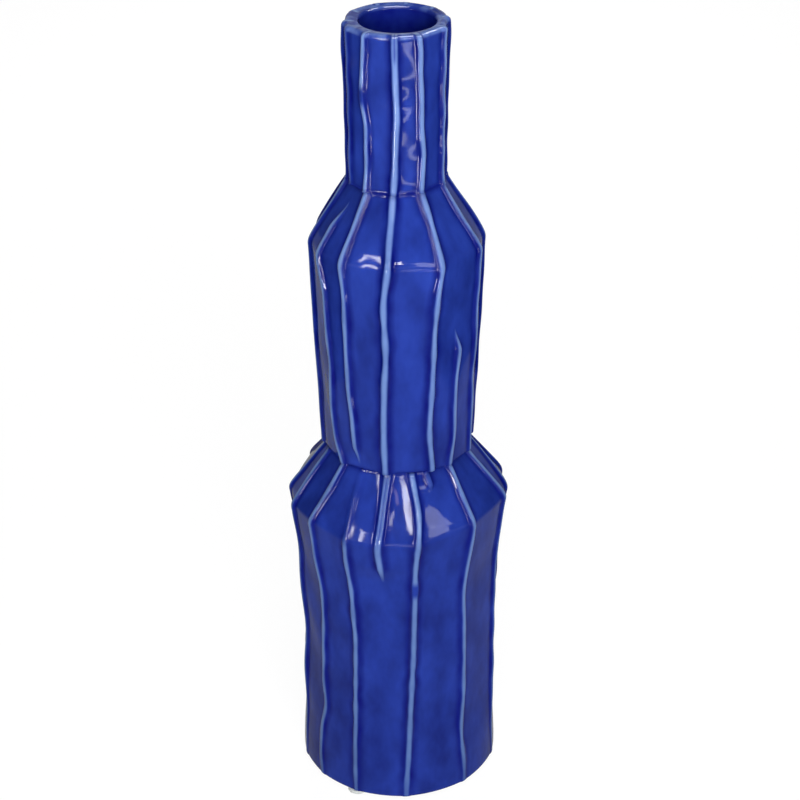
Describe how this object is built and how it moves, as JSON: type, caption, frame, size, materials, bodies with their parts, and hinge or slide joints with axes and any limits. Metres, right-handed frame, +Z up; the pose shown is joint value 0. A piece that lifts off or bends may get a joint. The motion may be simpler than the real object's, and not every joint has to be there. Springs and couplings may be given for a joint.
{
  "type": "earthenware vase",
  "caption": "Tall hollow glazed vase with a narrow neck over two stepped shoulders, ridges running down its sides, on a flat base with small clear pads.",
  "frame": {"origin": "on the surface that the vase stands on, on the axis that its tiers share", "axes": "+Z up along the axis, out of the mouth; the front of the picture faces -Y and its right is +X"},
  "size_m": [0.1087, 0.107, 0.4],
  "materials": {
    "blue_glaze": "glossy cobalt blue glaze that breaks pale on the ridges",
    "clear_pad": "clear soft plastic, slightly cloudy"
  },
  "bodies": {
    "root": {"base_slab": "blue_glaze", "lower_tier": "blue_glaze", "middle_tier": "blue_glaze", "neck_tier": "blue_glaze", "foot_pad_1": "clear_pad", "foot_pad_2": "clear_pad", "foot_pad_3": "clear_pad"}
  },
  "joints": []
}
